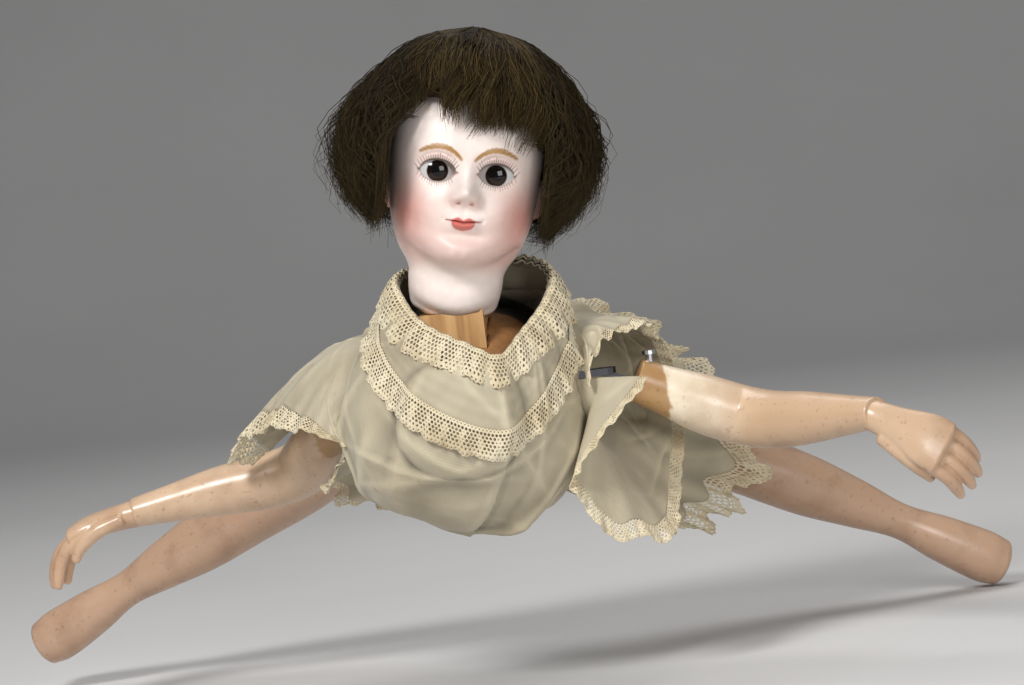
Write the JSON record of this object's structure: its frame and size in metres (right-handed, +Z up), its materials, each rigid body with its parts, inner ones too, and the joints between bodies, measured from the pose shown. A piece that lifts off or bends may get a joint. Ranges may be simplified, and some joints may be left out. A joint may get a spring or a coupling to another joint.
{
  "type": "clockwork swimming doll",
  "caption": "Antique clockwork swimming doll: bisque head, mohair wig, cork body, jointed wooden arms and legs, short dress; arms and legs swing in strokes.",
  "frame": {"origin": "centre of the flat under the belly, where a stand holds the doll", "axes": "+X towards the doll's left side, +Y towards the feet, +Z up; the face looks along -Y"},
  "size_m": [0.4693, 0.2315, 0.2855],
  "materials": {
    "cork_painted": "cork painted black, soft sheen",
    "cork": "bare cork",
    "wood": "bare wood",
    "flesh_paint": "wood with flesh-coloured paint, satin varnish",
    "bisque": "tinted bisque, matt with painted features",
    "eye_glass": "dark brown paperweight glass",
    "hair": "brown mohair",
    "cloth": "pale grey-green cotton with cream lace",
    "iron": "blackened iron",
    "steel": "bright steel",
    "brass": "brass, machined"
  },
  "bodies": {
    "torso": {"torso_belly_shell": "cork_painted", "torso_back_shell": "cork_painted", "neck_block": "wood", "neck_bolt": "iron", "low_plate": "brass", "top_plate": "brass", "plate_pillar_1": "brass", "plate_pillar_2": "brass", "plate_pillar_3": "brass", "plate_pillar_4": "brass", "hip_bridge": "brass", "left_shoulder_pin": "steel", "right_shoulder_pin": "steel", "left_hip_pin": "steel", "right_hip_pin": "steel", "key_plate": "brass", "click_post": "steel", "click_spring": "steel", "dress_bodice": "cloth", "dress_skirt": "cloth", "left_sleeve": "cloth", "right_sleeve": "cloth"},
    "head": {"bisque_head": "bisque", "left_glass_eye": "eye_glass", "right_glass_eye": "eye_glass", "cork_pate": "cork", "wig": "hair", "neck_button": "wood"},
    "left_arm": {"left_arm": "flesh_paint", "left_hand": "flesh_paint", "left_arm_lever": "iron", "left_shoulder_screw": "steel"},
    "right_arm": {"right_arm": "flesh_paint", "right_hand": "flesh_paint", "right_arm_lever": "iron", "right_shoulder_screw": "steel"},
    "arm_tie_rod": {"arm_tie_rod": "iron"},
    "arm_rod": {"arm_rod": "iron"},
    "left_leg": {"left_leg": "flesh_paint", "left_leg_lever": "iron", "left_hip_screw": "steel"},
    "right_leg": {"right_leg": "flesh_paint", "right_leg_lever": "iron", "right_hip_screw": "steel"},
    "kick_slide": {"kick_slide": "iron"},
    "leg_rod": {"leg_rod": "iron"},
    "barrel": {"mainspring_barrel": "brass", "barrel_cover": "brass", "mainspring": "steel"},
    "winding": {"winding_arbor": "steel", "ratchet_wheel": "steel"},
    "click": {"click": "steel"},
    "arm_crank": {"arm_crank": "steel"},
    "leg_crank": {"leg_crank": "steel", "fly_wheel": "brass"},
    "governor": {"governor_fly": "brass"}
  },
  "joints": [
    {"name": "head_turn", "type": "hinge", "parent": "torso", "child": "head", "pos_m": [0, -0.052, 0.0883], "axis": [0.2068, 0.0217, 0.9781], "range_deg": [-40, 40]},
    {"name": "right_arm_swing", "type": "hinge", "parent": "torso", "child": "right_arm", "pos_m": [0.034, -0.036, 0.0555], "axis": [0, 0, 1], "range_deg": [-4, 46], "deforming": ["right_sleeve"]},
    {"name": "left_arm_swing", "type": "hinge", "parent": "torso", "child": "left_arm", "pos_m": [-0.034, -0.036, 0.0555], "axis": [0, 0, 1], "range_deg": [-4, 46], "deforming": ["left_sleeve"]},
    {"name": "tie_rod_pivot", "type": "hinge", "parent": "right_arm", "child": "arm_tie_rod", "pos_m": [0.03866, -0.02386, 0.052], "axis": [0, 0, 1], "range_deg": [-46, 4]},
    {"name": "arm_rod_pivot", "type": "hinge", "parent": "arm_tie_rod", "child": "arm_rod", "pos_m": [0.02466, -0.02386, 0.049], "axis": [0, 0, 1], "range_deg": [-6, 6]},
    {"name": "right_leg_swing", "type": "hinge", "parent": "torso", "child": "right_leg", "pos_m": [0.028, 0.07, 0.0335], "axis": [0, 0, 1], "range_deg": [-4, 52]},
    {"name": "left_leg_swing", "type": "hinge", "parent": "torso", "child": "left_leg", "pos_m": [-0.028, 0.07, 0.0335], "axis": [0, 0, 1], "range_deg": [-52, 4]},
    {"name": "kick_slide_travel", "type": "slide", "parent": "torso", "child": "kick_slide", "axis": [0, 1, 0], "range_m": [-0.0115, 0.00098]},
    {"name": "leg_rod_pivot", "type": "hinge", "parent": "kick_slide", "child": "leg_rod", "pos_m": [0, 0.06708, 0.04], "axis": [0, 0, 1], "range_deg": [-29, 11]},
    {"name": "arm_crank_turn", "type": "hinge", "parent": "torso", "child": "arm_crank", "pos_m": [-0.02121, -0.00721, 0.04], "axis": [0, 0, 1], "continuous": true},
    {"name": "leg_crank_turn", "type": "hinge", "parent": "torso", "child": "leg_crank", "pos_m": [0, 0.044, 0.03], "axis": [0, 0, 1], "continuous": true},
    {"name": "barrel_turn", "type": "hinge", "parent": "torso", "child": "barrel", "pos_m": [0, 0.014, 0.04], "axis": [0, 0, 1], "continuous": true},
    {"name": "governor_spin", "type": "hinge", "parent": "torso", "child": "governor", "pos_m": [0.0128, 0.044, 0.04], "axis": [0, 0, 1], "continuous": true},
    {"name": "winding_turn", "type": "hinge", "parent": "torso", "child": "winding", "pos_m": [0, 0.014, 0.06], "axis": [0, 0, 1], "continuous": true},
    {"name": "click_lift", "type": "hinge", "parent": "torso", "child": "click", "pos_m": [0.0155, 0.023, 0.065], "axis": [0, 0, 1], "range_deg": [0, 12], "stiffness_Nm_per_rad": 0.02}
  ],
  "couplings": [
    {"joint": "left_arm_swing", "follows": "right_arm_swing", "ratio": 1},
    {"joint": "tie_rod_pivot", "follows": "right_arm_swing", "ratio": -1},
    {"joint": "left_leg_swing", "follows": "right_leg_swing", "ratio": -1},
    {"joint": "kick_slide_travel", "follows": "right_leg_swing", "m_per_rad": -0.01256},
    {"joint": "leg_crank_turn", "follows": "arm_crank_turn", "ratio": 1},
    {"joint": "barrel_turn", "follows": "arm_crank_turn", "ratio": -0.25},
    {"joint": "governor_spin", "follows": "arm_crank_turn", "ratio": -3}
  ]
}
